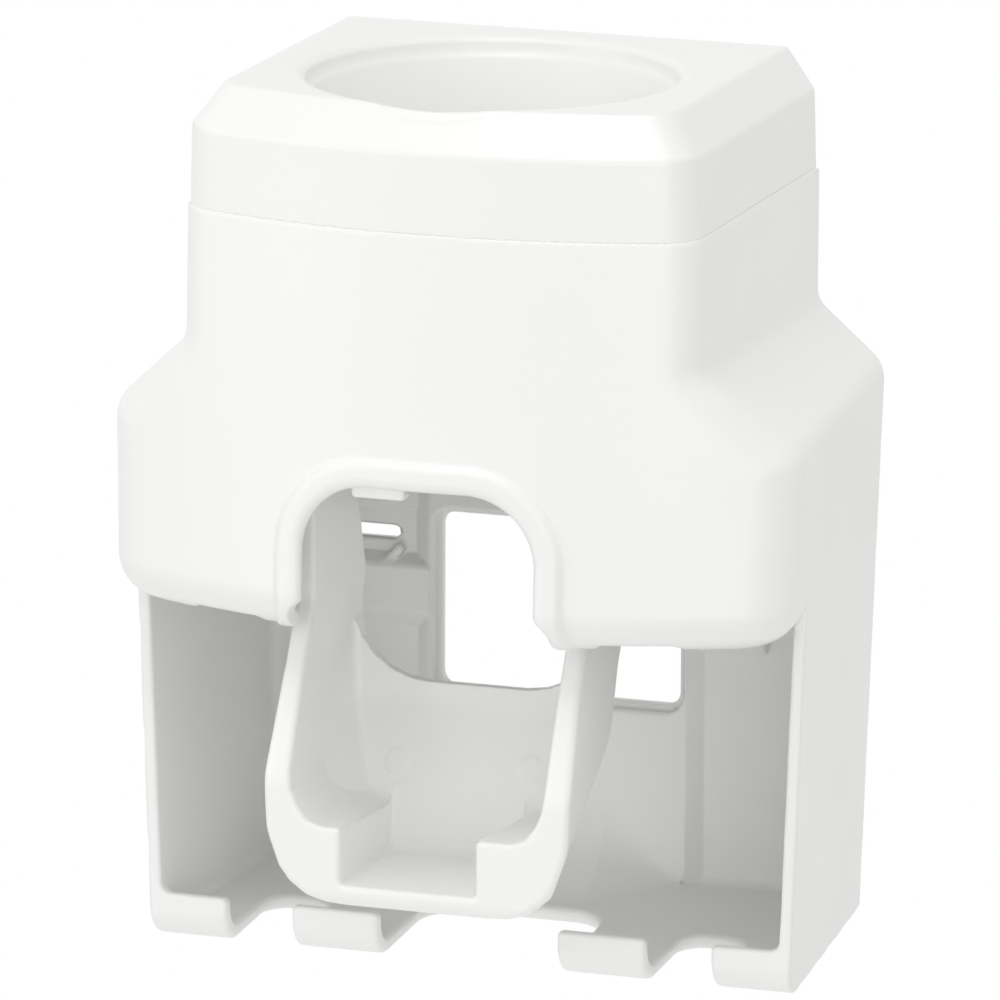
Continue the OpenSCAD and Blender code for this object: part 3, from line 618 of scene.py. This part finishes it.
def screw_tree():
    tree, sizes = tree_of("pan_head_screws", ("Across", "Along", "Thread Radius", "Length"),
                          ("Centre", "Turn"))
    radius = sizes["Thread Radius"]
    head_r, head_h = times(tree, radius, 1.9), times(tree, radius, 1.1)
    disc = add(tree, "GeometryNodeMeshCylinder", {"Vertices": 40, "Radius": head_r,
               "Depth": times(tree, radius, 2.2)})
    ball = add(tree, "GeometryNodeMeshUVSphere", {"Segments": 40, "Rings": 20, "Radius": 1.0})
    flat = add(tree, "ShaderNodeCombineXYZ", {"X": times(tree, radius, 2.15),
               "Y": times(tree, radius, 2.15), "Z": head_h})
    dome = add(tree, "GeometryNodeTransform", {"Geometry": ball.outputs["Mesh"],
               "Scale": flat.outputs["Vector"]})
    head = add(tree, "GeometryNodeMeshBoolean", {"Mesh 2": disc.outputs["Mesh"]},
               operation="INTERSECT")
    tree.links.new(dome.outputs["Geometry"], head.inputs["Mesh 2"])
    below = add(tree, "GeometryNodeMeshCube", {"Size": add(tree, "ShaderNodeCombineXYZ",
                {0: times(tree, radius, 6), 1: times(tree, radius, 6),
                 2: times(tree, radius, 3)}).outputs["Vector"]})
    drop = add(tree, "ShaderNodeCombineXYZ", {2: times(tree, radius, -1.5)}).outputs["Vector"]
    under = add(tree, "GeometryNodeTransform", {"Geometry": below.outputs["Mesh"],
                "Translation": drop})
    bar = add(tree, "GeometryNodeMeshCube", {"Size": add(tree, "ShaderNodeCombineXYZ",
              {0: times(tree, radius, 2), 1: times(tree, radius, 0.4),
               2: times(tree, radius, 1.2)}).outputs["Vector"]})
    lift = add(tree, "ShaderNodeCombineXYZ", {2: times(tree, radius, 1.15)}).outputs["Vector"]
    cross = [add(tree, "GeometryNodeTransform", {"Geometry": bar.outputs["Mesh"],
             "Translation": lift, "Rotation": (0, 0, math.radians(turn))}) for turn in (0, 90)]
    cut_head = add(tree, "GeometryNodeMeshBoolean", {"Mesh 1": head.outputs["Mesh"]},
                   operation="DIFFERENCE")
    for tool in (under, *cross):
        tree.links.new(tool.outputs["Geometry"], cut_head.inputs["Mesh 2"])
    shaft = add(tree, "GeometryNodeMeshCone", {"Vertices": 24, "Radius Bottom":
                times(tree, radius, 0.55), "Radius Top": times(tree, radius, 0.78),
                "Depth": sizes["Length"]})
    deep = add(tree, "ShaderNodeCombineXYZ", {2: times(tree, sizes["Length"], -1)})
    sunk = add(tree, "GeometryNodeTransform", {"Geometry": shaft.outputs["Mesh"],
               "Translation": deep.outputs["Vector"]})
    screw = add(tree, "GeometryNodeJoinGeometry", {"Geometry": cut_head.outputs["Mesh"]})
    tree.links.new(sunk.outputs["Geometry"], screw.inputs["Geometry"])
    grid = add(tree, "GeometryNodeMeshGrid", {"Size X": sizes["Across"], "Size Y": sizes["Along"],
               "Vertices X": 2, "Vertices Y": 2})
    places = add(tree, "GeometryNodeMergeByDistance", {"Geometry": grid.outputs["Mesh"]})
    angle = add(tree, "FunctionNodeRandomValue", {"Max": (0, 0, math.pi / 2), "Seed": 4},
                data_type="FLOAT_VECTOR")
    spread = add(tree, "GeometryNodeInstanceOnPoints", {"Points": places.outputs["Geometry"],
                 "Instance": screw.outputs["Geometry"], "Rotation": angle.outputs["Value"]})
    return finished(tree, spread.outputs["Instances"], sizes)


# %% [markdown]
# The return spring is steel wire wound to a helix. Its tree draws the helix and sweeps a round
# wire along it. The last turn at each end would be ground flat, which nobody sees in its seat.

# %% Tree of the spring
def spring_tree():
    tree, sizes = tree_of("return_spring", ("Turns", "Radius", "Run", "Wire Radius"),
                          ("Centre", "Turn"))
    helix = add(tree, "GeometryNodeCurveSpiral", {"Resolution": 32, "Rotations": sizes["Turns"],
                "Start Radius": sizes["Radius"], "End Radius": sizes["Radius"],
                "Height": sizes["Run"]})
    wire = add(tree, "GeometryNodeCurvePrimitiveCircle", {"Resolution": 12,
               "Radius": sizes["Wire Radius"]}, mode="RADIUS")
    tube = add(tree, "GeometryNodeCurveToMesh", {"Curve": helix.outputs["Curve"],
               "Profile Curve": wire.outputs["Curve"], "Fill Caps": True})
    return finished(tree, tube.outputs["Mesh"], sizes)


# %% Screws and spring, made and put in place
def grown(name, tree, **values):
    """The plain mesh that a tree makes with these inputs, as an object in the frame."""
    piece = bpy.data.objects.new(name, bpy.data.meshes.new(name))
    bpy.context.scene.collection.objects.link(piece)
    growth = piece.modifiers.new("growth", "NODES")
    growth.node_group = tree
    for socket in tree.interface.items_tree:
        if socket.in_out == "INPUT":
            value = values[socket.name.lower().replace(" ", "_")]
            growth[socket.identifier] = value
    mesh = plain_mesh(piece)
    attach(piece, "housing")
    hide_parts(name)
    print(name, len(mesh.polygons), "faces, box", [round(v * 1000, 1) for v in piece.dimensions])
    return piece


pan_head, coil = screw_tree(), spring_tree()
up_right, to_front = (0.0, 0.0, 0.0), (math.pi / 2, 0.0, 0.0)
for name, across, along, centre, turn, radius, length in (
        ("frame_screws", 83.2, 50, (0, -37, 131.8), up_right, 1.5, 9),
        ("body_screws", 34, 20, (0, -40.8, 131.8), up_right, 1.5, 8),
        ("cap_screws", 24.8, 0, (0, -61.5, PUMP_Z), to_front, 1.4, 12)):
    grown(name, pan_head, across=across / 1000, along=along / 1000, thread_radius=radius / 1000,
          length=length / 1000, centre=tuple(place(centre)), turn=turn, material=finishes["steel"])
return_spring = grown("return_spring", coil, turns=5.0, radius=0.005, run=0.0077,
                      wire_radius=0.0004, centre=tuple(place((0, -66.7, PUMP_Z))),
                      turn=(-math.pi / 2, 0.0, 0.0), material=finishes["steel"])
return_spring.data.polygons.foreach_set("use_smooth", [True] * len(return_spring.data.polygons))
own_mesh(return_spring)

# %% [markdown]
# The dispenser hangs on a wall, so the floor is well below it. A white studio is the same from
# all sides: a large soft lamp above, one in front at each side of the camera, a weak one on the
# right, and an even world. The white background is only for the camera, and for what it sees in
# metal or glass: on those rays the world and the floor give plain white.

# %% Studio
world = bpy.data.worlds.new("studio")
bpy.context.scene.world = world
world.use_nodes = True


def seen_directly(tree):
    """1 on the rays of the camera and on those that it sees in metal or glass."""
    ray = add(tree, "ShaderNodeLightPath").outputs
    shine = add(tree, "ShaderNodeMath", {0: ray["Is Glossy Ray"], 1: ray["Is Transmission Ray"]},
                operation="MAXIMUM")
    return add(tree, "ShaderNodeMath", {0: ray["Is Camera Ray"], 1: shine.outputs["Value"]},
               operation="MAXIMUM").outputs["Value"]


tree = world.node_tree
tree.nodes.clear()
soft = add(tree, "ShaderNodeBackground", {"Color": linear("#FFFFFF"), "Strength": 0.565})
plain = add(tree, "ShaderNodeBackground", {"Color": linear("#FFFFFF"), "Strength": 1.0})
pick = add(tree, "ShaderNodeMixShader", {0: seen_directly(tree), 1: soft.outputs["Background"],
           2: plain.outputs["Background"]})
add(tree, "ShaderNodeOutputWorld", {"Surface": pick.outputs["Shader"]})


def lamp(name, place_at, size, power):
    """A round soft lamp that looks at the dispenser. Sizes are in metres, power in watts."""
    light = bpy.data.lights.new(name, "AREA")
    light.shape, light.size, light.energy = "DISK", size, power
    holder = bpy.data.objects.new(name, light)
    bpy.context.scene.collection.objects.link(holder)
    holder.location = place_at
    look = Vector((0, -0.04, 0)) - Vector(place_at)
    holder.rotation_euler = look.to_track_quat("-Z", "Y").to_euler()
    print("lamp", name, power, "W")


lamp("key", (-1.5, -1.54, 0.4), 1.6, 8.0)
lamp("fill", (1.1, -1.9, 0.1), 1.4, 6.1)
lamp("side", (2.1, 0.3, 0.4), 1.2, 1.4)
lamp("top", (0, -0.6, 1.9), 1.2, 11.4)

# %% Floor
bpy.ops.mesh.primitive_plane_add(size=8, location=(0, 0, -0.55))
studio_floor = bpy.context.object
studio_floor.name = "studio_floor"
floor_paint = bpy.data.materials.new("studio_floor_paint")
floor_paint.use_nodes = True
tree = floor_paint.node_tree
tree.nodes.clear()
matt = add(tree, "ShaderNodeBsdfDiffuse", {"Color": linear("#F6F6F6")})
glow = add(tree, "ShaderNodeEmission", {"Color": linear("#FFFFFF"), "Strength": 1.0})
pick = add(tree, "ShaderNodeMixShader", {0: seen_directly(tree), 1: matt.outputs["BSDF"],
           2: glow.outputs["Emission"]})
add(tree, "ShaderNodeOutputMaterial", {"Surface": pick.outputs["Shader"]})
studio_floor.data.materials.append(floor_paint)

bpy.context.scene.view_settings.view_transform = "Standard"

# %% The scene brought up to date
bpy.context.view_layer.update()
